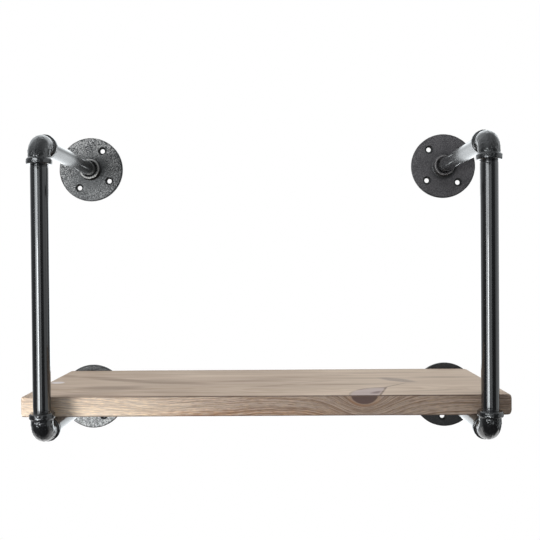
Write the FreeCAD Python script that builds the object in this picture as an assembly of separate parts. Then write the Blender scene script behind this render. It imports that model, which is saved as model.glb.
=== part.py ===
import FreeCAD, Part
import math
import os

from FreeCAD import Placement, Rotation, Vector

# Wall-mounted pipe shelf, in millimetres.  X runs along the shelf, -Y is the front and +Z is up.
# The wall is the plane y = 0.  The origin lies on it, midway between the axes of the two lower arms.

# Frame of pipes: distances between the axes
arm_spacing = 544.0             # left arms to right arms
tier_spacing = 352.0            # lower arms to upper arms
arm_reach = 229.0               # wall to the uprights

# Half-inch steel pipe
pipe_diameter = 21.3
pipe_wall = 2.8
thread_length = 16.0            # tapered end of a pipe
thread_taper = 1.0 / 16.0       # loss of diameter per unit of length
pipe_end_chamfer = 0.8

# 90 degree elbow with a band round each mouth
elbow_reach = 25.0              # corner of the axes to a mouth
elbow_bend_radius = 14.0        # of the centre line
elbow_body_diameter = 26.2
elbow_bore = 16.4
elbow_socket_depth = 12.5
elbow_engagement = 12.0         # length of pipe screwed into a socket
band_diameter = 31.2
band_width = 7.0
band_edge_round = 1.3
band_root_fillet = 1.6
mouth_chamfer = 0.9

# Round floor flange
flange_diameter = 98.0
plate_rim_thickness = 4.0
plate_root_thickness = 5.0      # where the plate meets its hub
plate_edge_round = 1.4
plate_back_round = 0.5
hub_height = 14.2               # wall to the hub's lip
hub_root_fillet = 2.4
hub_lip_round = 1.8
hub_lip_width = 2.2             # between the outside of the hub and its countersunk mouth
hub_mouth_depth = 2.0
flange_engagement = 11.6

# Screw holes in a flange
hole_circle = 67.0
hole_count = 4
hole_diameter = 7.0
countersink_diameter = 11.0
countersink_angle = 90.0

# How far each flange ended up turned when its thread went tight, in degrees
flange_turns = {
    "upper_left": 12.5,
    "upper_right": -4.0,
    "lower_left": -16.5,
    "lower_right": 39.0,
}

# Solid wood board
board_length = 610.0
board_thickness = 25.4
board_front_clearance = 0.3     # behind the bands round the uprights
board_back_clearance = 4.7      # in front of the flanges' plates
board_left_corner_radius = 4.0
board_right_front_radius = 6.0
board_right_back_radius = 16.0
board_left_end_round = 3.0      # over the end's upper and lower edges
board_right_end_round = 5.0
board_arris_round = 1.2         # along the front and the back
board_seat_clearance = 0.05     # over the bands and hubs that it lies on

# Dependent sizes
pipe_radius = pipe_diameter / 2
pipe_bore_radius = pipe_radius - pipe_wall
band_radius = band_diameter / 2
hub_radius = band_radius        # as high as the bands, so that the board lies level
upright_y = -arm_reach
board_front = upright_y + band_radius + board_front_clearance
board_back = -plate_root_thickness - board_back_clearance
board_depth = board_back - board_front
board_bottom = band_radius + board_seat_clearance
thread_slope = thread_taper / 2

# Turns that a piece made along +Z takes to its place
UPWARDS = Rotation()
UPSIDE_DOWN = Rotation(Vector(0, 1, 0), 180)
BACKWARDS = Rotation(Vector(1, 0, 0), -90)
FORWARDS = Rotation(Vector(1, 0, 0), 90)


def thread_radius(from_end):
    """Radius of a pipe's tapered end, at a distance from the end."""
    return pipe_radius - thread_slope * (thread_length - from_end)


def rounded_outline(corners):
    """Closed wire through (point, radius) corners, each rounded by a tangent arc."""
    count = len(corners)
    starts = []
    ends = []
    middles = []
    for i in range(count):
        point, radius = corners[i]
        before = corners[i - 1][0] - point
        after = corners[(i + 1) % count][0] - point
        half_angle = before.getAngle(after) / 2
        room = 0.49 * min(before.Length, after.Length)
        cut = min(radius / math.tan(half_angle), room) if radius else 0.0
        fitted = cut * math.tan(half_angle)
        before.normalize()
        after.normalize()
        starts.append(point + before * cut)
        ends.append(point + after * cut)
        bisector = before + after
        if cut:
            bisector.normalize()
            middles.append(point + bisector * (fitted / math.sin(half_angle) - fitted))
        else:
            middles.append(point)
    edges = []
    for i in range(count):
        if starts[i].distanceToPoint(ends[i]) > 1e-6:
            edges.append(Part.Arc(starts[i], middles[i], ends[i]).toShape())
        edges.append(Part.LineSegment(ends[i], starts[(i + 1) % count]).toShape())
    return Part.Wire(edges)


def turned(profile):
    """Solid of revolution about Z from (radius, height, corner radius) corners."""
    corners = [(Vector(radius, 0, height), fillet) for radius, height, fillet in profile]
    face = Part.Face(rounded_outline(corners))
    return face.revolve(Vector(0, 0, 0), Vector(0, 0, 1), 360)


def placed(shape, position, turn):
    """Copy of a shape, turned about its own origin and then moved to a position."""
    copy = shape.copy()
    copy.Placement = Placement(position, turn).multiply(copy.Placement)
    return copy


def make_pipe(length):
    """Pipe along Z from 0 to its length, with a tapered, chamfered thread blank at each end."""
    tip = thread_radius(pipe_end_chamfer)
    rim = tip - pipe_end_chamfer
    return turned([
        (pipe_bore_radius, 0, 0),
        (rim, 0, 0),
        (tip, pipe_end_chamfer, 0),
        (pipe_radius, thread_length, 0),
        (pipe_radius, length - thread_length, 0),
        (tip, length - pipe_end_chamfer, 0),
        (rim, length, 0),
        (pipe_bore_radius, length, 0),
    ])


def bend_core(radius, leg):
    """Round bar through the corner: two legs along +Y and +Z joined by a quarter bend."""
    section = Part.Face(Part.Wire(Part.makeCircle(
        radius, Vector(0, elbow_bend_radius, 0), Vector(0, 1, 0))))
    centre = Vector(0, elbow_bend_radius, elbow_bend_radius)
    quarter = section.revolve(centre, Vector(-1, 0, 0), 90)
    straight = leg - elbow_bend_radius
    along_y = Part.makeCylinder(radius, straight, Vector(0, elbow_bend_radius, 0), Vector(0, 1, 0))
    along_z = Part.makeCylinder(radius, straight, Vector(0, 0, elbow_bend_radius), Vector(0, 0, 1))
    return quarter.fuse([along_y, along_z])


def make_band():
    """Reinforcing band at the mouth of a leg along Z, filleted into the elbow's body."""
    body_radius = elbow_body_diameter / 2
    inner = body_radius - 1.0
    foot = elbow_reach - band_width
    return turned([
        (inner, foot - band_root_fillet, 0),
        (body_radius, foot - band_root_fillet, 0),
        (body_radius, foot, band_root_fillet),
        (band_radius, foot, band_edge_round),
        (band_radius, elbow_reach, band_edge_round),
        (inner, elbow_reach, 0),
    ])


def make_socket():
    """Tool that cuts the tapered socket and its chamfered mouth into a leg along Z."""
    mouth = thread_radius(elbow_engagement)
    end = thread_radius(elbow_engagement - elbow_socket_depth)
    shoulder = elbow_reach - elbow_socket_depth
    return turned([
        (0, shoulder, 0),
        (end, shoulder, 0),
        (thread_radius(elbow_engagement - mouth_chamfer), elbow_reach - mouth_chamfer, 0),
        (mouth + mouth_chamfer, elbow_reach, 0),
        (mouth + mouth_chamfer, elbow_reach + 1, 0),
        (0, elbow_reach + 1, 0),
    ])


def make_elbow():
    """Elbow with its corner at the origin and its mouths along +Y and +Z."""
    origin = Vector(0, 0, 0)
    bands = [placed(make_band(), origin, turn) for turn in (UPWARDS, BACKWARDS)]
    sockets = [placed(make_socket(), origin, turn) for turn in (UPWARDS, BACKWARDS)]
    casting = bend_core(elbow_body_diameter / 2, elbow_reach).fuse(bands)
    waterway = bend_core(elbow_bore / 2, elbow_reach)
    return casting.cut([waterway] + sockets).removeSplitter()


def make_flange(turn):
    """Flange with its back on z = 0 and its hub along +Z, its holes turned about Z."""
    mouth = thread_radius(flange_engagement)
    back = thread_radius(flange_engagement - hub_height)
    throat_depth = hub_height - hub_mouth_depth
    throat = thread_radius(flange_engagement - hub_mouth_depth)
    body = turned([
        (back, 0, 0),
        (flange_diameter / 2, 0, plate_back_round),
        (flange_diameter / 2, plate_rim_thickness, plate_edge_round),
        (hub_radius, plate_root_thickness, hub_root_fillet),
        (hub_radius, hub_height, hub_lip_round),
        (max(hub_radius - hub_lip_width, mouth), hub_height, 0),
        (throat, throat_depth, 0),
    ])
    sink_depth = (countersink_diameter - hole_diameter) / 2 / math.tan(math.radians(countersink_angle / 2))
    tools = []
    for i in range(hole_count):
        angle = math.radians(360 / hole_count * (i + 0.5) + turn)
        x = hole_circle / 2 * math.cos(angle)
        y = hole_circle / 2 * math.sin(angle)
        spread = (hub_radius - hole_circle / 2) / (hub_radius - flange_diameter / 2)
        face = plate_root_thickness + spread * (plate_rim_thickness - plate_root_thickness)
        tools.append(Part.makeCylinder(hole_diameter / 2, 2 * face, Vector(x, y, -face / 2)))
        tools.append(Part.makeCone(
            hole_diameter / 2, countersink_diameter / 2, sink_depth, Vector(x, y, face - sink_depth)))
        tools.append(Part.makeCylinder(countersink_diameter / 2, 1, Vector(x, y, face)))
    return body.cut(tools).removeSplitter()


def make_board():
    """Board with rounded upright corners and ends, its lower front edge on y = 0, z = 0."""
    half = board_length / 2
    from_above = [
        (Vector(-half, 0, 0), board_left_corner_radius),
        (Vector(half, 0, 0), board_right_front_radius),
        (Vector(half, board_depth, 0), board_right_back_radius),
        (Vector(-half, board_depth, 0), board_left_corner_radius),
    ]
    from_front = [
        (Vector(-half, 0, 0), board_left_end_round),
        (Vector(half, 0, 0), board_right_end_round),
        (Vector(half, 0, board_thickness), board_right_end_round),
        (Vector(-half, 0, board_thickness), board_left_end_round),
    ]
    from_end = [
        (Vector(-half, 0, 0), board_arris_round),
        (Vector(-half, board_depth, 0), board_arris_round),
        (Vector(-half, board_depth, board_thickness), board_arris_round),
        (Vector(-half, 0, board_thickness), board_arris_round),
    ]
    plan = Part.Face(rounded_outline(from_above)).extrude(Vector(0, 0, board_thickness))
    front = Part.Face(rounded_outline(from_front)).extrude(Vector(0, board_depth, 0))
    end = Part.Face(rounded_outline(from_end)).extrude(Vector(board_length, 0, 0))
    return plan.common(front).common(end).removeSplitter()


def save(name, shape):
    """Write one sub-part to its own STEP file."""
    if not shape.isValid() or len(shape.Solids) != 1:
        raise ValueError(name + " isn't one valid solid")
    shape.Solids[0].exportStep("parts/" + name + ".step")
    print(name, round(shape.Volume), "mm3")


os.makedirs("parts", exist_ok=True)

elbow = make_elbow()
arm_start = hub_height - flange_engagement
arm_end = arm_reach - elbow_reach + elbow_engagement
upright_start = elbow_reach - elbow_engagement
arm = make_pipe(arm_end - arm_start)
upright = make_pipe(tier_spacing - 2 * upright_start)

for side, x in (("left", -arm_spacing / 2), ("right", arm_spacing / 2)):
    for tier, z, turn in (("lower", 0.0, UPWARDS), ("upper", tier_spacing, UPSIDE_DOWN)):
        name = tier + "_" + side
        save(name + "_elbow", placed(elbow, Vector(x, upright_y, z), turn))
        save(name + "_arm", placed(arm, Vector(x, -arm_start, z), FORWARDS))
        flange = make_flange(flange_turns[name])
        save(name + "_flange", placed(flange, Vector(x, 0, z), FORWARDS))
    save(side + "_upright", placed(upright, Vector(x, upright_y, upright_start), UPWARDS))

save("shelf_board", placed(make_board(), Vector(0, board_front, board_bottom), UPWARDS))
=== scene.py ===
import math

import bmesh
import bpy
import numpy as np
from mathutils import Matrix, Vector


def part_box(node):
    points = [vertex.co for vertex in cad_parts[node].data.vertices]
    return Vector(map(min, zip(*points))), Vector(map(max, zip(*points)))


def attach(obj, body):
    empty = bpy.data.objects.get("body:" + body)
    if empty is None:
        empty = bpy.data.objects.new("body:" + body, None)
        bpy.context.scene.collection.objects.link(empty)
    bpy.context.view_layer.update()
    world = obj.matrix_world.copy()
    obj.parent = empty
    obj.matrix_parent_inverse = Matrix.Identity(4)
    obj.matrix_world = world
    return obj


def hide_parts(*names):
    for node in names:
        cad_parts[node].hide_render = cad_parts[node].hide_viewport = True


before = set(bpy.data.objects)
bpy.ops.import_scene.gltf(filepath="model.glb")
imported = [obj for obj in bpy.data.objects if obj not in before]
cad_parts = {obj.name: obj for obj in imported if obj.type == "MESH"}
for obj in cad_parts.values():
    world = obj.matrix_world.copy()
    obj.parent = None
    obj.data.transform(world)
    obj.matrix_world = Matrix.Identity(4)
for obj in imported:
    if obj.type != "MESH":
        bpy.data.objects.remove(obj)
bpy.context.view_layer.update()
mm = 0.001
print("frame loaded:", len(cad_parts), "nodes")


# Grid helpers

def softNoise(points, cell, seed):
    # Random values on a lattice of boxes of the size cell, blended by a smooth step between eight corners.
    size = 40
    lattice = np.random.default_rng(seed).uniform(-1, 1, (size, size, size))
    place = points / cell
    corner = np.floor(place).astype(int)
    share = place - corner
    share = share * share * (3 - 2 * share)
    total = np.zeros(points.shape[:-1])
    for step in np.ndindex(2, 2, 2):
        weight = np.prod(np.where(np.array(step) == 1, share, 1 - share), axis=-1)
        i, j, k = np.moveaxis((corner + np.array(step)) % size, -1, 0)
        total += weight * lattice[i, j, k]
    return total


def roundedOutline(corners, spacing):
    # Closed outline through (first, second, rounding) corners: straight runs joined by tangent arcs,
    # in steps of about one spacing. Also gives the index of the point where each corner's arc ends.
    place = np.array([corner[:2] for corner in corners])
    rounding = np.array([corner[2] for corner in corners])
    back = np.roll(place, 1, axis=0) - place
    ahead = np.roll(place, -1, axis=0) - place
    back /= np.linalg.norm(back, axis=1)[:, None]
    ahead /= np.linalg.norm(ahead, axis=1)[:, None]
    half = np.arccos(np.clip((back * ahead).sum(1), -1, 1)) / 2
    cut = np.where(rounding > 0, rounding / np.tan(half), 0)
    starts = place + back * cut[:, None]
    ends = place + ahead * cut[:, None]
    pieces = []
    cornerEnds = []
    count = 0
    for i in range(len(corners)):
        if cut[i]:
            inward = back[i] + ahead[i]
            centre = place[i] + inward / np.linalg.norm(inward) * rounding[i] / math.sin(half[i])
            share = np.linspace(0, 1, max(4, round(2 * rounding[i] / spacing)), endpoint=False)[:, None]
            chord = starts[i] + (ends[i] - starts[i]) * share - centre
            pieces.append(centre + chord / np.linalg.norm(chord, axis=1)[:, None] * rounding[i])
            count += len(pieces[-1])
        cornerEnds.append(count)
        run = starts[(i + 1) % len(corners)] - ends[i]
        steps = max(1, round(np.linalg.norm(run) / spacing))
        pieces.append(ends[i] + run * (np.arange(steps) / steps)[:, None])
        count += steps
    return np.concatenate(pieces), cornerEnds


def carry(outline, route, columns):
    # Each outline point becomes a ring: its first number is the place along the route, its second the radius.
    # A point of the ring is centre + radius * (cosine * outwards + sine * sideways).
    centres, outwards, sideways = route(outline[:, 0])
    angle = np.linspace(0, 2 * math.pi, columns, endpoint=False)[None, :, None]
    rim = np.cos(angle) * outwards[:, None] + np.sin(angle) * sideways[:, None]
    return centres[:, None] + outline[:, 1][:, None, None] * rim


def wrapFaces(rows, columns):
    # Quads of a grid that closes on itself in both directions.
    row, column = np.meshgrid(np.arange(rows), np.arange(columns), indexing="ij")
    nextRow = (row + 1) % rows
    nextColumn = (column + 1) % columns
    return np.stack([
        row * columns + column, row * columns + nextColumn,
        nextRow * columns + nextColumn, nextRow * columns + column], axis=-1)


def addObject(name, data):
    made = bpy.data.objects.new(name, data)
    bpy.context.scene.collection.objects.link(made)
    return made


def solidPiece(node, points, faces, relief, material):
    # Closed mesh that stands for a CAD node. relief gives each vertex's move along its normal.
    mesh = bpy.data.meshes.new(node + "Surface")
    mesh.from_pydata(points.reshape(-1, 3), [], faces.reshape(-1, 4))
    work = bmesh.new()
    work.from_mesh(mesh)
    bmesh.ops.remove_doubles(work, verts=work.verts, dist=0.001 * mm)
    bmesh.ops.recalc_face_normals(work, faces=work.faces)
    work.to_mesh(mesh)
    work.free()
    place = np.empty(len(mesh.vertices) * 3, np.float32)
    normal = np.empty(len(mesh.vertices) * 3, np.float32)
    mesh.vertices.foreach_get("co", place)
    mesh.vertices.foreach_get("normal", normal)
    place = place.reshape(-1, 3).astype(float)
    place += relief(place)[:, None] * normal.reshape(-1, 3)
    mesh.vertices.foreach_set("co", place.astype(np.float32).ravel())
    mesh.polygons.foreach_set("use_smooth", np.ones(len(mesh.polygons), bool))
    mesh.update()
    mesh.materials.append(material)
    piece = addObject(node + "Piece", mesh)
    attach(piece, "root")
    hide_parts(node)


# Shader helpers

class Wire:
    # One value of a node tree. Sums, products and powers of wires add Math nodes.
    def __init__(self, tree, socket=None):
        self.tree = tree
        self.socket = socket

    def node(self, kind, settings, values, output=0):
        # Adds any node: first its settings, then the values or links of its inputs. Gives one of its outputs.
        made = self.tree.nodes.new(kind)
        for name, value in settings.items():
            setattr(made, name, value)
        for name, value in values.items():
            if isinstance(value, Wire):
                self.tree.links.new(value.socket, made.inputs[name])
            else:
                made.inputs[name].default_value = value
        return Wire(self.tree, made.outputs[output] if len(made.outputs) else None)

    def other(self, output):
        # Another output of the same node.
        return Wire(self.tree, self.socket.node.outputs[output])

    def axes(self):
        # The three numbers of a vector.
        first = self.node("ShaderNodeSeparateXYZ", {}, {"Vector": self})
        return first, first.other(1), first.other(2)

    def math(self, operation, *values):
        return self.node("ShaderNodeMath", {"operation": operation}, dict(enumerate(values)))

    def __add__(self, other):
        return self.math("ADD", self, other)

    def __sub__(self, other):
        return self.math("SUBTRACT", self, other)

    def __rsub__(self, other):
        return self.math("SUBTRACT", other, self)

    def __mul__(self, other):
        return self.math("MULTIPLY", self, other)

    def __pow__(self, other):
        return self.math("POWER", self, other)

    def __rpow__(self, other):
        return self.math("POWER", other, self)

    __radd__ = __add__
    __rmul__ = __mul__

    def between(self, low, high):
        # 0 below low, 1 above high, a smooth step in between; low above high turns it round.
        return self.node("ShaderNodeMapRange", {"interpolation_type": "SMOOTHSTEP"},
                         {"Value": self, "From Min": low, "From Max": high})

    def mix(self, first, second, blend="MIX"):
        # This wire is the share of the second colour, or with MULTIPLY how far it tints the first.
        return self.node("ShaderNodeMix", {"data_type": "RGBA", "blend_type": blend},
                         {0: self, 6: first, 7: second}, 2)

    def noise(self, scale, detail=2.0, stretch=(1, 1, 1), shift=(0, 0, 0), roughness=0.5, distortion=0.0):
        # This wire is a place; scale is in cells per metre.
        mapped = self.node("ShaderNodeMapping", {}, {"Vector": self, "Scale": stretch, "Location": shift})
        return self.node("ShaderNodeTexNoise", {}, {
            "Vector": mapped, "Scale": scale, "Detail": detail,
            "Roughness": roughness, "Distortion": distortion})


def shown(red, green, blue):
    # A colour as it looks on screen, from 0 to 255, turned into the linear one that shaders use.
    level = np.array([red, green, blue]) / 255
    linear = np.where(level <= 0.04045, level / 12.92, ((level + 0.055) / 1.055) ** 2.4)
    return (*linear.tolist(), 1.0)


def newMaterial(name):
    material = bpy.data.materials.new(name)
    material.use_nodes = True
    tree = material.node_tree
    tree.nodes.clear()
    start = Wire(tree)
    place = start.node("ShaderNodeTexCoord", {}, {}, "Object")
    return material, start, place


def finishSurface(start, constants, colour, roughness, height, depth, strength=1.0):
    # Principled shader with its constants set on its own sockets. The bump's depth is in mm.
    normal = start.node("ShaderNodeBump", {}, {
        "Strength": strength, "Distance": depth * mm, "Height": height})
    surface = start.node("ShaderNodeBsdfPrincipled", {}, {
        **constants, "Base Color": colour, "Roughness": roughness, "Normal": normal})
    start.node("ShaderNodeOutputMaterial", {}, {"Surface": surface})


# Gloss black paint on the pipes

pipePaint = {
    "colour": (24, 25, 27),
    "dustColour": (52, 52, 53),
    "roughness": 0.09,
    "smudge": 0.07,
    "peelCell": 3.0,         # orange peel, mm
    "peelDepth": 0.006,      # mm
    "coat": 0.04,
}
armPaint = {**pipePaint, "roughness": 0.2, "coat": 0.14}      # duller than the uprights


def makePipePaint(name, values):
    material, start, place = newMaterial(name)
    dust = place.noise(900, 3).between(0.62, 0.78)
    smudge = place.noise(28, 3, (1, 1, 0.4))
    peel = place.noise(1000 / values["peelCell"], 1.5)
    paint = (dust * 0.5).mix(shown(*values["colour"]), shown(*values["dustColour"]))
    roughness = values["roughness"] + values["smudge"] * smudge + dust * 0.1
    finishSurface(start, {"Coat Weight": 1.0, "Coat Roughness": values["coat"], "Specular IOR Level": 0.5},
                  paint, roughness, peel, values["peelDepth"])
    return material


# Gloss black paint on the elbows' castings

elbowPaint = {
    "colour": (23, 24, 26),
    "wornColour": (56, 56, 56),
    "roughness": 0.16,
    "grainCell": 1.1,        # cast grain, mm
    "grainDepth": 0.05,
    "coat": 0.06,
}


def makeElbowPaint(values):
    material, start, place = newMaterial("elbowPaint")
    grain = place.noise(1000 / values["grainCell"], 3, roughness=0.6)
    patch = place.noise(90, 3)
    worn = place.noise(500, 3).between(0.66, 0.8)
    paint = (worn * 0.6).mix(shown(*values["colour"]), shown(*values["wornColour"]))
    roughness = values["roughness"] + 0.12 * patch
    finishSurface(start, {"Coat Weight": 1.0, "Coat Roughness": values["coat"], "Specular IOR Level": 0.5},
                  paint, roughness, grain * patch.between(0.35, 0.7), values["grainDepth"])
    return material


# Sand castings of the flanges. Each has its own turn and paint, and shows its grain more or less. Their
# different
# brightness is partly painted light: the lower left is lighter for the near lamp at the left, the lower right
# darker for the board's shade, and the pale speckles are partly a painted sheen on the grains. Lengths are in
# mm, colours from 0 to 255.

flangeFinishAndShade = {
    "upper_left": {
        "turn": 12.5,                     # degrees about its axis
        "colour": (28, 29, 30),
        "speckle": (176, 177, 177),
        "share": 0.7,                     # of the speckles' colour
        "grain": 1.5,                     # their size
        "pale": (-0.4, 1.0, 0.4, 1.18),   # right and up: the way they get paler; then the least and most
        "halo": 31.0,                     # radius at which the painted shadow round the hub begins
        "topShade": 0.0,                  # painted shadow of the board on the top of the plate
        # the lip's colour: a painted highlight, partly wear
        "lip": (190, 191, 190),
        "depth": 0.3,
        "roughness": 0.42,
    },
    "upper_right": {
        "turn": -4.0, "colour": (75, 74, 77), "speckle": (142, 140, 143), "share": 0.42, "grain": 1.45,
        "pale": (-0.4, 1.0, 0.85, 1.15), "halo": 23.0, "topShade": 0.0, "lip": (118, 117, 118),
        "depth": 0.16, "roughness": 0.5,
    },
    "lower_left": {
        "turn": -16.5, "colour": (116, 119, 120), "speckle": (216, 219, 219), "share": 0.8, "grain": 1.65,
        "pale": (-1.0, -1.0, 0.75, 1.15), "halo": 23.0, "topShade": 0.85, "lip": (170, 171, 170),
        "depth": 0.3, "roughness": 0.42,
    },
    "lower_right": {
        "turn": 39.0, "colour": (50, 51, 53), "speckle": (84, 84, 85), "share": 0.3, "grain": 1.45,
        "pale": (-1.0, -1.0, 0.75, 1.15), "halo": 23.0, "topShade": 0.0, "lip": (100, 100, 100),
        "depth": 0.16, "roughness": 0.55,
    },
}
flangeShade = {
    # colour of the painted shade in the countersinks, round the hub and on the rim
    "colour": (24, 25, 26),
    "patchCell": 16.0,
    "paleReach": (-35.0, 45.0),     # from where to where the speckles get paler
    "rimReach": (24.0, 42.0),       # and the same towards the rim
    "topReach": (22.0, 34.0),
    "sink": 7.0,                    # painted shade in and round a countersink, and how soft its border is
    "sinkEdge": 1.2,
    # rim to lowerRight: where the painted shade on the rim and the painted shadow round the hub lie, stronger
    # at the lower right
    "rim": 46.9,
    "haloInner": 18.0,
    "edge": 0.8,
    "lowerRight": 30.0,
    "lipDrop": 1.6,
    "lipInner": (12.2, 13.4),
    "lipReach": 12.0,
}


def makeFlangePaintAndShade(name, values, shade):
    material, start, place = newMaterial(name + "FlangePaintAndShade")
    low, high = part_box(name + "_flange")
    x, y, z = place.axes()
    dx = x - (low[0] + high[0]) / 2
    dz = z - (low[2] + high[2]) / 2
    tall = -1 * y
    away = (dx * dx + dz * dz) ** 0.5

    def reach(distance, key):
        # 0 to 1 between the two distances that a user value holds.
        return distance.between(shade[key][0] * mm, shade[key][1] * mm)

    sand = place.noise(1000 / values["grain"], 2, roughness=0.6)
    patch = place.noise(1000 / shade["patchCell"], 2)
    fleck = (sand + 0.25 * (patch - 0.5)).between(0.44, 0.58)
    side, up, least, most = values["pale"]
    share = values["share"] * (least + (most - least) * reach(dx * side + dz * up, "paleReach"))
    share = share * (0.7 + 0.4 * reach(away, "rimReach"))
    paint = (fleck * share).mix(shown(*values["colour"]), shown(*values["speckle"]))

    # Painted shade: darker in the countersinks and on the rim, a painted shadow round the hub, most at the
    # lower right away from the light, and topShade paints the board's shadow on the top of the plate.
    turn = math.radians(values["turn"])
    holePlace = flangeSizes["holeCircle"] * mm / math.sqrt(2)
    besideU = start.math("ABSOLUTE", dx * math.cos(turn) + dz * math.sin(turn)) - holePlace
    besideV = start.math("ABSOLUTE", dz * math.cos(turn) - dx * math.sin(turn)) - holePlace
    fromHole = (besideU * besideU + besideV * besideV) ** 0.5
    lowerRight = (dx - dz).between(-shade["lowerRight"] * mm, shade["lowerRight"] * mm)
    edge = shade["edge"] * mm
    paintedShade = fromHole.between(shade["sink"] * mm, (shade["sink"] - shade["sinkEdge"]) * mm)
    paintedShade = paintedShade + away.between(shade["rim"] * mm, shade["rim"] * mm + edge) * (0.5 + 0.5 * lowerRight)
    lipLow = high[1] - low[1] - shade["lipDrop"] * mm
    halo = away.between(values["halo"] * mm, shade["haloInner"] * mm) * tall.between(lipLow, lipLow - edge)
    paintedShade = paintedShade + halo * (0.4 + 0.6 * lowerRight) + values["topShade"] * reach(dz, "topReach")
    paint = start.math("MINIMUM", 1.0, paintedShade).mix(paint, shown(*shade["colour"]))

    # Painted highlight on the hub's lip, partly wear: bright, less so at its upper right.
    worn = tall.between(lipLow, lipLow + edge) * reach(away, "lipInner")
    upperRight = (dx + dz).between(-shade["lipReach"] * mm, shade["lipReach"] * mm)
    paint = (worn * (0.9 - 0.45 * upperRight)).mix(paint, shown(*values["lip"]))
    roughness = values["roughness"] + 0.2 * (patch - 0.5) - 0.1 * fleck
    finishSurface(start, {"Specular IOR Level": 0.5}, paint, roughness, sand, values["depth"])
    return material


# Pipes: six lengths of half-inch pipe, painted, with some of the thread left outside each fitting

pipeSizes = {
    "wall": 2.8,
    "threadLength": 16.0,
    "threadPitch": 1.814,
    "threadTaper": 1 / 16,
    "ridgeDepth": 0.55,
    "runOut": 3.5,           # length over which the ridges fade
    "endChamfer": 0.8,
    "wander": 0.008,         # unevenness of the drawn tube
    "columns": 96,
    "ringStep": 0.26,
    "plainEvery": 16,        # the plain stretch keeps one ring in so many
}


def makePipe(node, axis, material, seed):
    # A profile turned about the pipe's axis: tapered ends, the tube between them, and the bore.
    low, high = (np.array(corner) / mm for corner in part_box(node))
    middle = (low + high) / 2
    along = np.eye(3)[axis]
    side = np.eye(3)[0]
    up = np.cross(along, side)
    length = high[axis] - low[axis]
    radius = (high[0] - low[0]) / 2
    bore = radius - pipeSizes["wall"]
    thread = pipeSizes["threadLength"]
    tip = radius - thread * pipeSizes["threadTaper"] / 2
    chamfer = pipeSizes["endChamfer"]
    rim = tip - chamfer
    outline = roundedOutline([
        (0, bore, 0), (0, rim, 0), (chamfer, tip, 0), (thread, radius, 0), (thread + 1, radius, 0),
        (length - thread - 1, radius, 0), (length - thread, radius, 0),
        (length - chamfer, tip, 0), (length, rim, 0), (length, bore, 0)], pipeSizes["ringStep"])[0]
    inThread = np.minimum(outline[:, 0], length - outline[:, 0]) < thread + 1
    kept = inThread | (np.arange(len(outline)) % pipeSizes["plainEvery"] == 0)
    outline = outline[kept]
    onOutside = outline[:, 1] > bore + 0.1

    def route(distance):
        centres = middle + (low[axis] - middle[axis] + distance)[:, None] * along
        return centres, np.tile(side, (len(distance), 1)), np.tile(up, (len(distance), 1))

    # Thread: a helical ridge that fades where the die ran out, cut into the tube's own surface.
    grid = carry(outline, route, pipeSizes["columns"])
    fromEnd = np.minimum(outline[:, 0], length - outline[:, 0])
    fade = np.clip((thread + 0.6 - fromEnd) / pipeSizes["runOut"], 0, 1) * onOutside * (fromEnd > chamfer)
    turn = np.linspace(0, 1, pipeSizes["columns"], endpoint=False)
    phase = 2 * math.pi * (outline[:, 0][:, None] / pipeSizes["threadPitch"] + turn[None])
    groove = pipeSizes["ridgeDepth"] * fade[:, None] * (0.5 - 0.5 * np.cos(phase))
    centre = route(outline[:, 0])[0][:, None]
    spoke = grid - centre
    grid = centre + spoke * (1 - groove / outline[:, 1][:, None])[..., None]

    def relief(points):
        wave = softNoise(points / mm + seed, np.where(along == 1, 45, 9), seed)
        outside = np.linalg.norm((points / mm - middle) * (1 - along), axis=1) > bore + 0.5
        return pipeSizes["wander"] * mm * (wave - 1) * outside

    solidPiece(node, grid * mm, wrapFaces(*grid.shape[:2]), relief, material)


uprightMaterial = makePipePaint("pipePaint", pipePaint)
armMaterial = makePipePaint("armPaint", armPaint)
pipeCount = 0
for level in ("lower", "upper"):
    for hand in ("left", "right"):
        makePipe(f"{level}_{hand}_arm", 1, armMaterial, 11 + pipeCount)
        pipeCount += 1
for hand in ("left", "right"):
    makePipe(f"{hand}_upright", 2, uprightMaterial, 11 + pipeCount)
    pipeCount += 1
print("pipes made:", pipeCount)


# Elbows: malleable castings with a band round each mouth, a parting line and cast pimples

elbowSizes = {
    "reach": 25.0,
    "bendRadius": 14.0,
    "bodyRadius": 13.1,
    "bandWidth": 7.0,
    "bandEdgeRound": 1.5,
    "bandRootFillet": 1.5,
    "mouthRadius": 11.3,
    "mouthChamfer": 0.9,
    "boreRadius": 8.2,
    "socketDepth": 12.5,
    "socketDraw": 1.4,       # how much narrower the socket is at its foot
    "seamHeight": 0.45,
    "seamWidth": 0.5,
    "lumpHeight": 0.16,
    "bandLumpHeight": 0.22,
    "pimpleHeight": 0.5,
    "pimpleRadius": 0.7,
    "pimpleCount": 70,
    "crowdPlace": 3.5,       # past the band's foot
    "crowdLength": 3.2,      # spread of the crowd along the body, and round it in radians
    "crowdAngle": 0.36,
    "strayPimples": 70,
    "strayAngle": 2.2,
    "columns": 180,
    "ringStep": 0.5,
}


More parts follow.
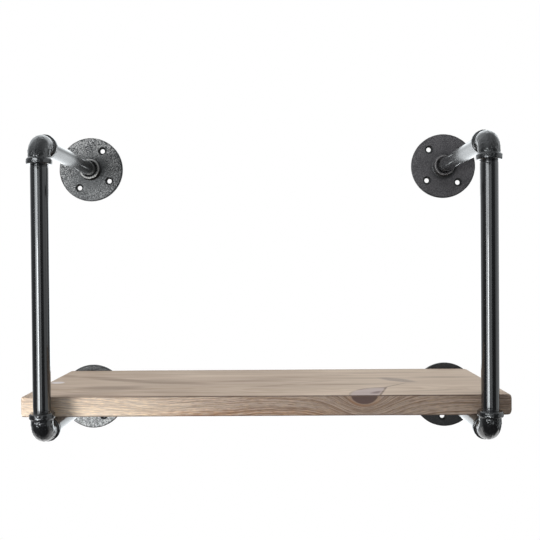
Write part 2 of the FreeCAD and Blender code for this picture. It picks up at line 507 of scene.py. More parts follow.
def makeElbow(node, upwards, material, seed):
    # A profile of bands, body and sockets carried round the bend as rings.
    sizes = elbowSizes
    low, high = (np.array(corner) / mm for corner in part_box(node))
    bandRadius = (high[0] - low[0]) / 2
    cornerZ = low[2] + bandRadius if upwards > 0 else high[2] - bandRadius
    corner = np.array([(low[0] + high[0]) / 2, low[1] + bandRadius, cornerZ])
    leg = sizes["reach"] - sizes["bendRadius"]
    bend = sizes["bendRadius"] * math.pi / 2
    length = 2 * leg + bend

    def route(distance):
        # Down one leg, round a quarter circle and out along the other leg; outwards is off the bend.
        angle = np.clip((distance - leg) / sizes["bendRadius"], 0, math.pi / 2)
        before = np.minimum(distance - leg, 0)
        after = np.maximum(distance - leg - bend, 0)
        y = sizes["bendRadius"] * (1 - np.cos(angle)) + after
        z = sizes["bendRadius"] * (1 - np.sin(angle)) - before
        centres = corner + np.stack([0 * y, y, upwards * z], axis=1)
        outwards = np.stack([0 * y, -np.cos(angle), -upwards * np.sin(angle)], axis=1)
        return centres, outwards, np.tile([1.0, 0.0, 0.0], (len(distance), 1))

    body, band = sizes["bodyRadius"], bandRadius - 0.05
    foot, edge, fillet = sizes["bandWidth"], sizes["bandEdgeRound"], sizes["bandRootFillet"]
    mouth, bore, socket = sizes["mouthRadius"], sizes["boreRadius"], sizes["socketDepth"]
    chamfer, draw = sizes["mouthChamfer"], sizes["socketDraw"]
    outline = roundedOutline([
        (0, mouth, 0), (0, band, edge), (foot, band, edge), (foot, body, fillet),
        (length - foot, body, fillet), (length - foot, band, edge), (length, band, edge), (length, mouth, 0),
        (length - chamfer, mouth - chamfer, 0), (length - socket, mouth - draw, 0),
        (length - socket, bore, 0), (socket, bore, 0),
        (socket, mouth - draw, 0), (chamfer, mouth - chamfer, 0)], sizes["ringStep"])[0]
    grid = carry(outline, route, sizes["columns"])

    # Pimples: low round bumps, crowded on the front of the body beside the upright's band.
    rng = np.random.default_rng(seed)
    count, strayCount = sizes["pimpleCount"], sizes["strayPimples"]
    crowd = np.stack([rng.normal(foot + sizes["crowdPlace"], sizes["crowdLength"], count),
                      rng.normal(0.0, sizes["crowdAngle"], count)], 1)
    stray = np.stack([rng.uniform(foot + 1, length - foot, strayCount),
                      rng.uniform(-sizes["strayAngle"], sizes["strayAngle"], strayCount)], 1)
    spots = np.concatenate([crowd, stray])
    spotCentres, spotOut, spotSide = route(spots[:, 0])
    spotRadius = np.where(spots[:, 0] < foot + 0.5, band, body)[:, None]
    bumps = spotCentres + spotRadius * (np.cos(spots[:, 1:]) * spotOut + np.sin(spots[:, 1:]) * spotSide)
    bumpSize = rng.uniform(0.5, 1.1, len(bumps))
    pathPoints = route(np.linspace(0, length, 60))[0]

    def relief(points):
        # Lumps, pimples and a raised parting line on the body, and wider lumps on the bands.
        place = points / mm
        fromPath = np.linalg.norm(place[:, None, :] - pathPoints[None], axis=2).min(1)
        outside = np.clip((fromPath - mouth - 0.6) / 1.2, 0, 1)
        onBand = np.clip((fromPath - body - 0.8) / 1.2, 0, 1)
        lumps = softNoise(place, 5.0, seed) + 0.6 * softNoise(place, 2.2, seed + 1) - 0.2
        bandLumps = softNoise(place, 3.4, seed + 2) + 0.5 * softNoise(place, 1.5, seed + 3) - 1.3
        away = np.linalg.norm(place[:, None, :] - bumps[None], axis=2) / (sizes["pimpleRadius"] * bumpSize)
        pimples = sizes["pimpleHeight"] * (bumpSize * np.exp(-away ** 2)).max(1)
        offSeam = place[:, 0] - corner[0] - 0.35 * softNoise(place, 7.0, seed + 4)
        seamLevel = 0.75 + 0.35 * softNoise(place, 4.0, seed + 5)
        seam = sizes["seamHeight"] * seamLevel * np.exp(-(offSeam / sizes["seamWidth"]) ** 2)
        bodyRelief = sizes["lumpHeight"] * lumps + pimples + seam
        bandRelief = sizes["bandLumpHeight"] * bandLumps + 0.5 * pimples
        return mm * outside * ((1 - onBand) * bodyRelief + onBand * bandRelief)

    solidPiece(node, grid * mm, wrapFaces(*grid.shape[:2]), relief, material)


elbowPaintMaterial = makeElbowPaint(elbowPaint)
for number, (level, upwards) in enumerate((("lower", 1), ("upper", -1))):
    for hand in ("left", "right"):
        makeElbow(f"{level}_{hand}_elbow", upwards, elbowPaintMaterial, 40 + 10 * number + len(hand))
print("elbows made")


# Flanges: round sand castings with a hub and four countersunk holes

flangeSizes = {
    "rimThickness": 4.0,
    "rootThickness": 5.0,
    "rimRound": 1.4,
    "backRound": 0.5,
    "hubRadius": 15.6,
    "hubFillet": 2.4,
    "lipRound": 1.6,
    "lipWidth": 2.2,
    "throatRadius": 10.5,
    "throatDepth": 2.0,
    "backBoreRadius": 10.1,
    "holeCircle": 33.5,
    "holeRadius": 3.5,
    "sinkRadius": 5.5,
    "windowInner": 24.5,     # radii and columns between which rings round a hole replace the grid
    "windowOuter": 42.5,
    "windowHalf": 15,
    "columns": 360,
    "ringStep": 0.75,
    "relief": 0.2,
    "reliefCell": 1.5,
}


def makeFlange(name, turn, material, seed):
    # A profile turned about the flange's axis; four square windows in it are filled with rings round holes.
    sizes = flangeSizes
    node = name + "_flange"
    low, high = (np.array(corner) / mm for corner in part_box(node))
    centre = np.array([(low[0] + high[0]) / 2, 0.0, (low[2] + high[2]) / 2])
    radius = (high[0] - low[0]) / 2
    height = high[1] - low[1]
    hub = sizes["hubRadius"]
    slope = (sizes["rootThickness"] - sizes["rimThickness"]) / (radius - hub)
    inner, outer = sizes["windowInner"], sizes["windowOuter"]

    def faceHeight(distance):
        return sizes["rimThickness"] + slope * (radius - distance)

    # The outline's first number is the height off the wall, its second the radius.
    outline, ends = roundedOutline([
        (0, sizes["backBoreRadius"], 0), (0, inner, 0), (0, outer, 0), (0, radius, sizes["backRound"]),
        (sizes["rimThickness"], radius, sizes["rimRound"]),
        (faceHeight(outer), outer, 0), (faceHeight(inner), inner, 0),
        (sizes["rootThickness"], hub, sizes["hubFillet"]), (height, hub, sizes["lipRound"]),
        (height, hub - sizes["lipWidth"], 0),
        (height - sizes["throatDepth"], sizes["throatRadius"], 0)], sizes["ringStep"])
    columns = sizes["columns"]
    turnMatrix = np.array(Matrix.Rotation(math.radians(turn), 3, "Y"))
    right, up = turnMatrix.T @ [1, 0, 0], turnMatrix.T @ [0, 0, 1]

    def route(distance):
        centres = centre - distance[:, None] * np.array([0, 1, 0])
        return centres, np.tile(right, (len(distance), 1)), np.tile(up, (len(distance), 1))

    grid = carry(outline, route, columns)
    faces = wrapFaces(*grid.shape[:2])
    keep = np.ones(faces.shape[:2], bool)
    points = [grid.reshape(-1, 3)]
    sleeves = []

    # Round a hole, rings lead from the window's border to the rim of the countersink, down the cone and the
    # hole, and out again to the border of the same window on the back.
    half = sizes["windowHalf"]
    rows = ends[2] - ends[1]
    ring = np.concatenate([
        np.zeros(2 * half, int), np.arange(rows), np.full(2 * half, rows), np.arange(rows, 0, -1)])
    column = np.concatenate([
        np.arange(-half, half), np.full(rows, half), np.arange(half, -half, -1), np.full(rows, -half)])
    sink, hole = sizes["sinkRadius"], sizes["holeRadius"]
    face = faceHeight(sizes["holeCircle"])
    shrink = np.linspace(0, 1, 11)[1:]
    steps = np.array([
        (sink + 0.25, face - 0.03), (sink + 0.05, face - 0.12), (sink - 0.15, face - 0.3),
        (hole + 1.0, face - 1.2), (hole + 0.15, face - 2.0), (hole, face - 2.2), (hole, 1.2), (hole, 0.25),
        (hole + 0.1, 0.08), (hole + 0.3, 0.0)])
    total = grid.shape[0] * columns
    for quarter in range(4):
        middle = 45 + 90 * quarter
        frontBorder = (ends[6] - ring) * columns + (middle + column) % columns
        backBorder = (ends[1] + ring) * columns + (middle + column) % columns
        window = np.arange(middle - half, middle + half)
        keep[ends[5]:ends[6], window] = False
        keep[ends[1]:ends[2], window] = False
        angle = math.radians(middle)
        holeCentre = centre + sizes["holeCircle"] * (math.cos(angle) * right + math.sin(angle) * up)
        out = points[0][backBorder] - holeCentre
        out /= np.linalg.norm(out, axis=1)[:, None]
        frontRim = holeCentre + out * (sink + 0.4)
        rings = []
        for share in shrink:
            place = points[0][frontBorder] * (1 - share) + frontRim * share
            place[:, 1] = -faceHeight(np.hypot(place[:, 0] - centre[0], place[:, 2] - centre[2]))
            rings.append(place)
        for radiusHere, heightHere in steps:
            rings.append(holeCentre + out * radiusHere - np.array([0, heightHere, 0]))
        for share in shrink[::-1][1:]:
            rings.append(points[0][backBorder] * (1 - share) + (holeCentre + out * (hole + 0.6)) * share)
        fresh = total + np.arange(len(rings) * len(ring)).reshape(len(rings), -1)
        total += fresh.size
        points.append(np.concatenate(rings))
        sleeve = np.concatenate([frontBorder[None], fresh, backBorder[None]])
        ahead = np.roll(sleeve, -1, axis=1)
        sleeves.append(np.stack([sleeve[:-1], ahead[:-1], ahead[1:], sleeve[1:]], axis=-1).reshape(-1, 4))
    faces = np.concatenate([faces[keep], *sleeves])

    def relief(place):
        # Sand texture on all but the flat back and the inside of the holes.
        here = place / mm
        away = np.hypot(here[:, 0] - centre[0], here[:, 2] - centre[2])
        tall = -here[:, 1]
        front = np.clip((tall - 0.6) / 1.5, 0, 1) * np.clip((away - 12.5) / 2, 0, 1)
        cell = sizes["reliefCell"]
        sand = 0.6 * softNoise(here, cell, seed) + 0.4 * softNoise(here, 3.6 * cell, seed + 1)
        return mm * front * sizes["relief"] * (sand - 0.7)

    solidPiece(node, np.concatenate(points) * mm, faces, relief, material)


for number, (name, values) in enumerate(flangeFinishAndShade.items()):
    makeFlange(name, values["turn"], makeFlangePaintAndShade(name, values, flangeShade), 80 + 7 * number)
print("flanges made")


# Board: solid softwood with eased arrises, a weathered stain, painted light on its front and a painted glare
# on its top, and a knot at its front edge

boardSizes = {
    "leftRound": 4.0,
    "rightFrontRound": 6.0,
    "rightBackRound": 16.0,
    "leftEndRound": 3.0,
    "rightEndRound": 5.0,
    "arris": 1.2,
    "leftEndArris": 2.2,
    "rightEndArris": 3.6,
    "leftEndReach": 5.0,     # how far in from its end the arris is wider
    "rightEndReach": 6.0,
    "stationStep": 2.5,
    "endStations": 20,
    "topPoints": 90,
    "edgePoints": 20,
    "grainRelief": 0.05,
    "arrisWear": 0.2,
    "wearReach": 1.2,
}
boardStainAndPaintedLight = {
    "topLeft": (181, 163, 146),
    "topRight": (203, 186, 169),
    "topPale": (209, 192, 174),
    "topDark": (150, 132, 116),
    # frontLeft to frontRight: partly the wood's colour, partly painted light that falls off from the left
    "frontLeft": (221, 203, 186),
    "frontFoot": (244, 227, 207),
    "frontRight": (202, 182, 166),
    "frontWarm": (206, 160, 118),
    "frontEnd": (150, 128, 111),
    "ringShade": (200, 184, 172),     # this and the next two tint the colour under them
    "dashShade": (188, 174, 168),
    "dashShine": (291, 287, 270),
    "knotCore": (104, 84, 80),
    "knotRim": (176, 130, 96),
    "lens": (182, 168, 166),
    "lensCore": (122, 104, 102),
    "lensEdge": (124, 106, 95),
    "feather": (150, 138, 130),
    "arris": (92, 74, 64),
    # paintedGlare: a painted highlight on the top near the left end
    "paintedGlare": (226, 224, 228),
}
# Marks on the top face, in metres: place along and back from the front, half length, half width, slope and
# strength
topMarks = {
    "darkStreaks": [
        (-0.212, 0.121, 0.080, 0.016, -0.42, 0.8),
        (-0.130, 0.095, 0.075, 0.016, -0.22, 0.65),
        (-0.210, 0.060, 0.060, 0.015, 0.02, 0.8),
        (-0.290, 0.152, 0.016, 0.012, -0.2, 0.45),
        (-0.010, 0.110, 0.075, 0.009, 0.14, 0.5),
        (0.014, 0.070, 0.036, 0.0036, 0.3, 1.0),
        (0.060, 0.094, 0.044, 0.0036, 0.2, 0.7),
        (0.022, 0.126, 0.050, 0.0045, 0.1, 0.6),
        (0.096, 0.150, 0.040, 0.0040, -0.1, 0.6),
        (0.250, 0.128, 0.060, 0.010, 0.0, 0.5),
        (0.215, 0.030, 0.050, 0.005, 0.08, 0.4),
        (0.166, 0.062, 0.030, 0.0035, 0.9, 0.8),
        (0.045, 0.100, 0.125, 0.090, 0.0, 0.27),
    ],
    "paleStreaks": [
        (0.086, 0.014, 0.050, 0.014, 0.25, 0.8),
        (0.205, 0.050, 0.050, 0.016, 0.05, 0.7),
        (0.020, 0.160, 0.110, 0.020, 0.05, 0.35),
        (-0.060, 0.145, 0.080, 0.014, -0.1, 0.35),
    ],
    # the painted glare near the left end of the top
    "paintedGlare": (-0.291, 0.100, 0.014, 0.011, -0.1),      # without a strength
}
# Knot at the front edge, which leans to the right as it goes back; lengths in metres
knotShape = {
    "x": 0.1225,
    "halfWidth": 0.0166,
    "halfHeight": 0.0112,
    "lensX": 0.1555,         # on the top it is part of a circle, cut off along a slanted line
    "lensReach": 0.0505,
    "cutX": 0.1415,
    "cutSlope": 0.3,
    "dip": 0.05,             # how far the rings bend down under it, and how soon they straighten
    "dipReach": 0.028,
    "lensCore": (0.1425, 0.019, 0.014, 0.010, 0.6),
    "feather": (0.181, 0.107, 0.028, 0.018, -0.6),
}


def makeBoardStainAndPaintedLight(values, marks, knot, low, high):
    material, start, place = newMaterial("boardStainAndPaintedLight")
    colour = {name: shown(*level) for name, level in values.items()}
    x, y, z = place.axes()
    depth, thickness = high[1] - low[1], high[2] - low[2]
    back = y - low[1]
    drop = high[2] - z
    onTop = drop.between(0.012, 0.008)
    onFront = back.between(0.0024, 0.0008) * drop.between(0.0006, 0.0014)
    onEnd = (x - low[0]).between(0.004, 0.001) + (high[0] - x).between(0.005, 0.0015)

    # Growth rings: distance from a pith that wanders below the board, so that ends show arcs and faces show
    # lines. On the front they bend down under the knot.
    wander = place.noise(9, 2, (0.5, 1, 1)) - 0.5
    sway = place.noise(30, 2, (0.3, 0.6, 0.6), (3, 0, 0)) - 0.5
    pithY = y - low[1] - 0.045 + 0.04 * wander
    pithZ = z + 0.055 + 0.006 * sway
    ring = (pithY * pithY + pithZ * pithZ) ** 0.5
    fromKnot = x - knot["x"]
    fromCentre = (fromKnot * fromKnot + 1.3 * drop * drop + 0.00003) ** 0.5
    bend = knot["dip"] * (math.e ** (fromCentre * (-1 / knot["dipReach"])))
    ring = ring + bend * back.between(0.02, 0.0)

    def grain(rings, alongX, alongRing, alongY, detail=2.0):
        # Noise drawn out along the board: cells per metre in its three directions.
        stretched = start.node("ShaderNodeCombineXYZ", {}, {
            0: x * alongX, 1: rings * alongRing, 2: y * alongY})
        return start.node("ShaderNodeTexNoise", {}, {
            "Vector": stretched, "Scale": 1.0, "Detail": detail, "Roughness": 0.6})

    bands = grain(ring, 7, 1350, 7)
    fibre = grain(ring, 18, 1000, 160, 3.0)
    dash = grain(ring, 105, 1400, 300)
    darkDash = grain(ring, 75, 1200, 310)
    lines = grain(ring + x * 0.08, 26, 950, 26)      # these fall a little towards the right
    streak = place.noise(70, 3, (0.07, 1, 1), distortion=0.15)
    cloud = place.noise(14, 2, (0.5, 1, 1))

    def mark(centreX, centreBack, halfLength, halfWidth, slope):
        # 1 in the middle of a slanted ellipse on the top, falling smoothly to 0 at its border.
        alongMark = (x - centreX) * (1 / halfLength)
        across = (back - centreBack - (x - centreX) * slope) * (1 / halfWidth)
        return (alongMark * alongMark + across * across).between(1.0, 0.0) * onTop

    # Top, back and underside
    base = x.between(0.02, 0.12).mix(colour["topLeft"], colour["topRight"])
    base = (cloud.between(0.38, 0.7) * 0.55).mix(base, colour["topPale"])
    base = (streak.between(0.52, 0.72) * 0.55).mix(base, colour["topDark"])
    base = (streak.between(0.44, 0.3) * 0.5).mix(base, colour["topPale"])
    for *shape, strength in marks["paleStreaks"]:
        base = (mark(*shape) * strength).mix(base, colour["topPale"])
    for *shape, strength in marks["darkStreaks"]:
        base = (mark(*shape) * (0.55 + 0.9 * streak) * strength).mix(base, colour["topDark"])
    base = (mark(*knot["feather"]) * (0.5 + fibre.between(0.42, 0.56))).mix(base, colour["feather"])
    # Painted highlight: a pale glare on the top near the left upright
    base = (mark(*marks["paintedGlare"]).between(0.3, 0.8) * 0.8).mix(base, colour["paintedGlare"])
    base = (back.between(depth - 0.011, depth - 0.004) * 0.6).mix(base, colour["topDark"])

    # The knot seen from above: a grey lens with a dark outline
    scale = 1 / knot["lensReach"]
    lensX, lensY = (x - knot["lensX"]) * scale, back * scale
    beyondCut = (x - knot["cutX"] - knot["cutSlope"] * back) * scale
    lensAway = start.math("MAXIMUM", (lensX * lensX + lensY * lensY) ** 0.5 - 1, beyondCut)
    lensAway = lensAway + 0.05 * (fibre - 0.5)
    base = (lensAway.between(0.01, -0.04) * onTop * 0.85).mix(base, colour["lens"])
    lensCore = mark(*knot["lensCore"]) * lensAway.between(0.0, -0.1)
    base = (lensCore * (0.4 + fibre)).mix(base, colour["lensCore"])
    outline = lensAway.between(-0.04, 0.0) * lensAway.between(0.05, 0.02)
    outline = outline * (0.45 + 0.55 * x.between(0.11, 0.14)) * onTop
    base = (outline * (0.3 + 0.8 * fibre.between(0.3, 0.6))).mix(base, colour["lensEdge"])

    # Front edge: pale at the left, more so towards its foot, browner at the right, warm along the lower
    # arris.
    # The fall from pale left to browner right is partly painted light, from the near lamp at the left.
    front = x.between(-0.15, 0.02).mix(colour["frontLeft"], colour["frontRight"])
    front = (drop.between(0.003, 0.021) * x.between(-0.07, -0.16)).mix(front, colour["frontFoot"])
    warm = drop.between(0.014, 0.022) * x.between(-0.2, -0.08) * x.between(0.12, 0.05)
    front = (warm * darkDash.between(0.35, 0.55) * 0.6).mix(front, colour["frontWarm"])
    front = (cloud.between(0.52, 0.7) * x.between(0.0, 0.12) * 0.35).mix(front, colour["frontEnd"])
    front = (x.between(0.2, 0.28) * bands.between(0.4, 0.6) * 0.8).mix(front, colour["frontEnd"])
    base = onFront.mix(base, front)

    # Rings and fibres tint every face, short dashes the front, and long lines its left part
    right = x.between(-0.12, -0.03)
    onLeft = (1 - right) * onFront
    tints = [
        (bands.between(0.46, 0.62) * (0.3 + onFront * (0.1 + 0.5 * right)), "ringShade"),
        (fibre.between(0.48, 0.7) * (0.3 + 0.3 * onFront), "ringShade"),
        (darkDash.between(0.5, 0.62) * (0.43 + 0.17 * right) * onFront, "dashShade"),
        (dash.between(0.5, 0.62) * (0.55 + 0.1 * right) * onFront, "dashShine"),
        (lines.between(0.5, 0.62) * 0.3 * onLeft, "dashShade"),
        (lines.between(0.5, 0.38) * 0.34 * onLeft, "dashShine"),
    ]
    for share, tint in tints:
        base = share.mix(base, colour[tint], "MULTIPLY")

    # The knot on the front edge
    knotX = fromKnot * (1 / knot["halfWidth"])
    knotZ = drop * (1 / knot["halfHeight"])
    knotAway = (knotX * knotX + knotZ * knotZ) ** 0.5 + 0.1 * (fibre - 0.5)
    rim = knotAway.between(1.38, 1.12) * onFront
    base = (rim * (0.2 + 0.6 * bands.between(0.4, 0.6))).mix(base, colour["knotRim"])
    core = knotAway.between(1.05, 0.92) * onFront
    base = (core * 0.92).mix(base, colour["knotCore"])
    base = (core * dash.between(0.5, 0.7) * 0.3).mix(base, colour["dashShine"], "MULTIPLY")

    # Stain collects along the arrises of the front; ends are darker end grain
    base = (onEnd * 0.45).mix(base, colour["topDark"])
    wornLeft = 0.45 + 0.5 * x.between(-0.25, -0.12)
    upperArris = drop.between(0.0017, 0.0009) * back.between(0.0016, 0.0008) * wornLeft
    lowerArris = drop.between(thickness - 0.0022, thickness - 0.0008) * back.between(0.004, 0.002)
    base = (upperArris * (0.7 + 0.5 * fibre)).mix(base, colour["arris"])
    base = (lowerArris * 0.6).mix(base, colour["arris"])

    height = 0.5 * bands + 0.5 * fibre
    finishSurface(start, {"Specular IOR Level": 0.35}, base, 0.58 + 0.16 * streak, height, 0.12, 0.8)
    return material


def makeBoard():
    # A rounded rectangle carried along the board, drawn in towards its ends.
    sizes = boardSizes
    lowCorner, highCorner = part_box("shelf_board")
    low, high = np.array(lowCorner) / mm, np.array(highCorner) / mm
    arris = sizes["arris"]

    # Stations along the board, close together at the ends.
    ease = 1 - np.cos(np.linspace(0, math.pi / 2, sizes["endStations"]))
    ends = ease * sizes["rightBackRound"]
    inside = np.arange(low[0] + ends[-1], high[0] - ends[-1], sizes["stationStep"])[1:]
    x = np.concatenate([low[0] + ends, inside, high[0] - ends[::-1]])
    fromLeft, fromRight = x - low[0], high[0] - x

    def roundedIn(distance, rounding):
        # How far a rounded corner draws the side in, at a distance from the end.
        rest = np.clip(rounding - distance, 0, rounding)
        return rounding - np.sqrt(np.maximum(rounding ** 2 - rest ** 2, 0))

    front = low[1] + roundedIn(fromLeft, sizes["leftRound"]) + roundedIn(fromRight, sizes["rightFrontRound"])
    back = high[1] - roundedIn(fromLeft, sizes["leftRound"]) - roundedIn(fromRight, sizes["rightBackRound"])
    drawn = roundedIn(fromLeft, sizes["leftEndRound"]) + roundedIn(fromRight, sizes["rightEndRound"])
    bottom, top = low[2] + drawn, high[2] - drawn

    # Section: a rounded rectangle, whose points are shares of its width and height plus an arris arc.
    width = np.linspace(0, 1, sizes["topPoints"])
    depth = np.linspace(0, 1, sizes["edgePoints"])
    shareY = np.concatenate([0 * depth, width, 1 + 0 * depth, width[::-1]])
    shareZ = np.concatenate([depth, 1 + 0 * width, depth[::-1], 0 * width])
    quarter = np.linspace(0, math.pi / 2, 6)[1:-1]
    cornerArc = np.stack([1 - np.cos(quarter), 1 - np.sin(quarter)], 1)
    nearLeft = np.exp(-(fromLeft / sizes["leftEndReach"]) ** 2)
    nearRight = np.exp(-(fromRight / sizes["rightEndReach"]) ** 2)
    rounding = arris + (sizes["leftEndArris"] - arris) * nearLeft
    rounding = rounding + (sizes["rightEndArris"] - arris) * nearRight
    inset = rounding[:, None]
    y = front[:, None] + inset + shareY * (back - front - 2 * rounding)[:, None]
    z = bottom[:, None] + inset + shareZ * (top - bottom - 2 * rounding)[:, None]
    count = len(depth)
    many = len(width)
    sides = [slice(0, count), slice(count, count + many),
             slice(count + many, 2 * count + many), slice(2 * count + many, None)]
    y[:, sides[0]] -= inset
    z[:, sides[1]] += inset
    y[:, sides[2]] += inset
    z[:, sides[3]] -= inset

    # Each corner: its two walls, the way in from them, and whether its arc runs forwards.
    corners = [(front, top, 1, -1, True), (back, top, -1, -1, False),
               (back, bottom, -1, 1, True), (front, bottom, 1, 1, False)]
    arcs = []
    for wallY, wallZ, signY, signZ, forwards in corners:
        arc = cornerArc if forwards else cornerArc[::-1]
        arcs.append((wallY[:, None] + signY * inset * arc[None, :, 0],
                     wallZ[:, None] + signZ * inset * arc[None, :, 1]))
    loopY = np.concatenate([part for i in range(4) for part in (y[:, sides[i]], arcs[i][0])], axis=1)
    loopZ = np.concatenate([part for i in range(4) for part in (z[:, sides[i]], arcs[i][1])], axis=1)
    loop = np.stack([np.broadcast_to(x[:, None], loopY.shape), loopY, loopZ], axis=-1)

    # The end faces close in rings towards a line at mid height.
    middle = (low[2] + high[2]) / 2
    closing = np.array([0.0, 0.3, 0.6, 0.85])[:, None]

    def endRings(last):
        rings = np.repeat(last[None], len(closing), axis=0)
        rings[:, :, 2] = middle + (last[None, :, 2] - middle) * closing
        return rings

    grid = np.concatenate([endRings(loop[0]), loop, endRings(loop[-1])[::-1]])
    faces = wrapFaces(*grid.shape[:2])[:-1]

    def relief(points):
        # Long low waves of the grain, and wear that comes and goes along the arrises.
        here = points / mm
        grain = softNoise(here, np.array([60.0, 2.6, 2.6]), 301)
        grain = grain + 0.5 * softNoise(here, np.array([25.0, 1.5, 1.5]), 302)
        nearY = np.maximum(np.minimum(here[:, 1] - low[1], high[1] - here[:, 1]), 0)
        nearZ = np.maximum(np.minimum(here[:, 2] - low[2], high[2] - here[:, 2]), 0)
        onArris = np.exp(-(np.hypot(nearY, nearZ) / sizes["wearReach"]) ** 2)
        wear = sizes["arrisWear"] * onArris * (0.5 + 0.5 * softNoise(here, np.array([9.0, 4.0, 4.0]), 303))
        return mm * (sizes["grainRelief"] * (grain - 1.5) - wear)

    material = makeBoardStainAndPaintedLight(boardStainAndPaintedLight, topMarks, knotShape, lowCorner, highCorner)
    solidPiece("shelf_board", grid * mm, faces, relief, material)


makeBoard()
print("board made")


# Floor, light and camera

floorValues = {
    "height": -1.25,
    "radius": 2.4,
    "fadeStart": 0.9,        # distances at which it begins to turn white, and is white
    "fadeEnd": 2.3,
    "paleness": 0.55,
    "colour": (225, 224, 222),
    "inGloss": (110, 111, 112),
    "whiteBehind": (-0.3, 0.7),
}


def makeFloor(values):
    # A flat disc: a matt floor that keeps the shadow, mixed with white for the camera. In reflections it is a
    # darker grey, and behind the object it glows white: a painted reflection for the glossy parts.
    mesh = bpy.data.meshes.new("floor")
    angle = np.linspace(0, 2 * math.pi, 96, endpoint=False)
    rim = np.stack([np.cos(angle), np.sin(angle), 0 * angle], axis=1) * values["radius"]
    mesh.from_pydata(rim + [0, 0, values["height"]], [], [range(96)])
    material, start, place = newMaterial("paleFloor")
    flat = start.node("ShaderNodeVectorMath", {"operation": "MULTIPLY"}, {0: place, 1: (1, 1, 0)})
    distance = start.node("ShaderNodeVectorMath", {"operation": "LENGTH"}, {0: flat}, 1)
    behind = place.axes()[1].between(*values["whiteBehind"])
    camera = start.node("ShaderNodeLightPath", {}, {}, "Is Camera Ray")
    gloss = camera.other("Is Glossy Ray")
    white = start.node("ShaderNodeEmission", {}, {"Color": (1, 1, 1, 1), "Strength": 1.0})
    colour = gloss.mix(shown(*values["colour"]), shown(*values["inGloss"]))
    matt = start.node("ShaderNodeBsdfDiffuse", {}, {"Color": colour})
    pale = values["paleness"]
    outward = distance.between(values["fadeStart"], values["fadeEnd"])
    fade = (pale + (1 - pale) * outward) * camera + gloss * behind
    surface = start.node("ShaderNodeMixShader", {}, {0: fade, 1: matt, 2: white})
    start.node("ShaderNodeOutputMaterial", {}, {"Surface": surface})
    mesh.materials.append(material)
    floor = addObject("floor", mesh)


makeFloor(floorValues)

# The world: white to the camera, a plain level on matt surfaces, and in gloss a white wall behind the object,
# a paler one to the right and overhead, a bright shoulder between the two, and a dim room in front.
# A direction runs from -1 to 1 along each axis.
worldValues = {
    "plain": 0.13,
    "room": 0.09,
    "rightWall": 0.6,
    "overhead": 0.7,
    "backWall": 1.9,
    "leftBack": 0.4,
    "shoulder": 1.3,
    "tint": (0.93, 0.975, 1.0, 1.0),
}


def makeWorld(values):
    world = bpy.data.worlds.new("studio")
    world.use_nodes = True
    tree = world.node_tree
    tree.nodes.clear()
    start = Wire(tree)
    ray = start.node("ShaderNodeLightPath", {}, {}, "Is Camera Ray")
    gloss = ray.other("Is Glossy Ray")
    seen = ray + ray.other("Is Transmission Ray")
    direction = start.node("ShaderNodeTexCoord", {}, {}, "Generated")
    x, y, z = direction.axes()
    glossLevel = values["room"] + values["rightWall"] * x.between(0.81, 0.88)
    sides = 0.55 + 0.75 * x.between(0.35, -0.6) + 0.7 * x.between(0.5, 0.95)
    glossLevel = glossLevel + values["overhead"] * z.between(-0.15, 1.0) * sides
    upperRight = z.between(-0.1, 0.3) * (0.55 + 0.25 * x.between(-0.05, 0.2))
    glossLevel = glossLevel + values["backWall"] * y.between(0.8, 0.97) * (1 - upperRight)
    glossLevel = glossLevel + values["leftBack"] * y.between(0.05, 0.6) * x.between(-0.3, -0.7)
    shoulder = z.between(0.2, 0.45) * y.between(0.3, 0.8) * x.between(-0.4, -0.1)
    glossLevel = glossLevel + values["shoulder"] * shoulder
    level = seen + gloss * glossLevel + (1 - seen - gloss) * values["plain"]
    colour = gloss.mix((1, 1, 1, 1), values["tint"])
    surface = start.node("ShaderNodeBackground", {}, {"Color": colour, "Strength": level})
    start.node("ShaderNodeOutputWorld", {}, {"Surface": surface})
    bpy.context.scene.world = world


makeWorld(worldValues)

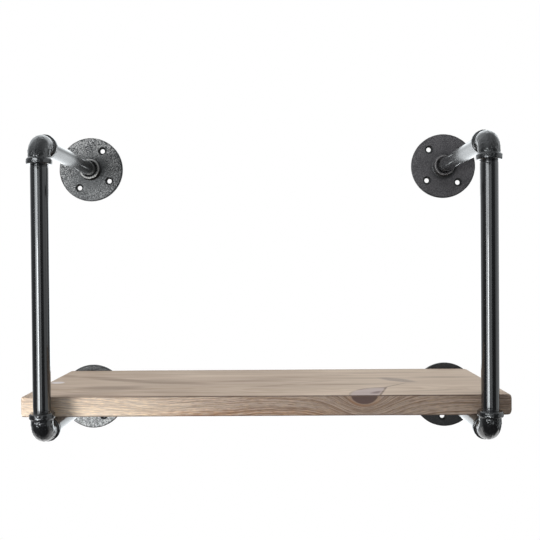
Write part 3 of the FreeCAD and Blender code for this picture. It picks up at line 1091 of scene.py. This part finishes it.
# Soft lamps: place and target in metres, width and height in metres, radiance as a share of white, and the
# kind of reflection that shows them. The window at the left has a brighter middle. backFill shines straight
# up: its target is a hair off the vertical, because a lamp's sides are found from the upright.
lamps = {
    "window": ((-0.66, -1.65, 0.05), (0.0, -0.22, 0.05), (0.44, 1.1), 6.0, "gloss"),
    "windowMiddle": ((-0.67, -1.64, -0.02), (0.0, -0.22, -0.02), (0.24, 0.62), 10.0, "gloss"),
    "windowGlow": ((-0.2, -2.1, 0.1), (-0.1, -0.2, 0.1), (1.1, 1.0), 0.9, "gloss"),
    "sideStrip": ((-0.79, -1.09, 0.1), (0.1, -0.25, 0.1), (0.34, 0.95), 4.4, "gloss"),
    "farStrip": ((0.56, -2.8, 0.1), (0.2, -0.2, 0.1), (0.2, 1.9), 1.6, "gloss"),
    "leftKey": ((-0.721, -0.628, 0.1), (-0.15, -0.2, 0.1), (0.2, 0.5), 17.6, "matt"),
    "frontFill": ((0.1, -2.6, 0.3), (0.0, -0.2, 0.15), (1.8, 1.4), 0.24, "matt"),
    "backFill": ((0.0, 0.9, -1.0), (0.0, 0.9001, 0.0), (1.8, 1.4), 1.1, "matt"),
    "topLight": ((0.0, -0.15, 1.9), (0.0, -0.1, 0.0), (2.2, 1.8), 2.45, "matt"),
}


def makeLamp(name, place, target, size, radiance, kind):
    light = bpy.data.lights.new(name, "AREA")
    light.shape = "RECTANGLE"
    light.size, light.size_y = size
    light.energy = radiance * math.pi * size[0] * size[1]
    light.color = worldValues["tint"][:3] if kind == "gloss" else (1, 1, 1)
    lamp = addObject(name, light)
    away = np.array(place) - target
    away /= np.linalg.norm(away)
    right = np.cross([0, 0, 1], away)
    right /= np.linalg.norm(right)
    rotation = Matrix(np.column_stack([right, np.cross(away, right), away]))
    lamp.matrix_world = Matrix.Translation(place) @ rotation.to_4x4()
    lamp.visible_camera = False
    lamp.visible_diffuse = kind == "matt"
    lamp.visible_glossy = kind == "gloss"


for name, values in lamps.items():
    makeLamp(name, *values)

# Angles in radians, lens in mm
viewpoint = {
    "place": (0.01901, -1.04203, 0.20553),
    "yaw": -0.0143,
    "pitch": 0.0109,
    "roll": -0.0084,
    "lens": 44.79,
}


def makeCamera(values):
    yaw, pitch, roll = values["yaw"], values["pitch"], values["roll"]
    forward = np.array([math.sin(yaw) * math.cos(pitch), math.cos(yaw) * math.cos(pitch), -math.sin(pitch)])
    level = np.array([math.cos(yaw), -math.sin(yaw), 0])
    upright = np.cross(level, forward)
    right = math.cos(roll) * level + math.sin(roll) * upright
    up = -math.sin(roll) * level + math.cos(roll) * upright
    data = bpy.data.cameras.new("camera")
    data.sensor_width = 36
    data.lens = values["lens"]
    data.clip_end = 60
    camera = addObject("camera", data)
    rotation = Matrix(np.column_stack([right, up, -forward]))
    camera.matrix_world = Matrix.Translation(values["place"]) @ rotation.to_4x4()
    bpy.context.scene.camera = camera


makeCamera(viewpoint)
bpy.context.scene.view_settings.view_transform = "Standard"
print("floor, lamps and camera made")
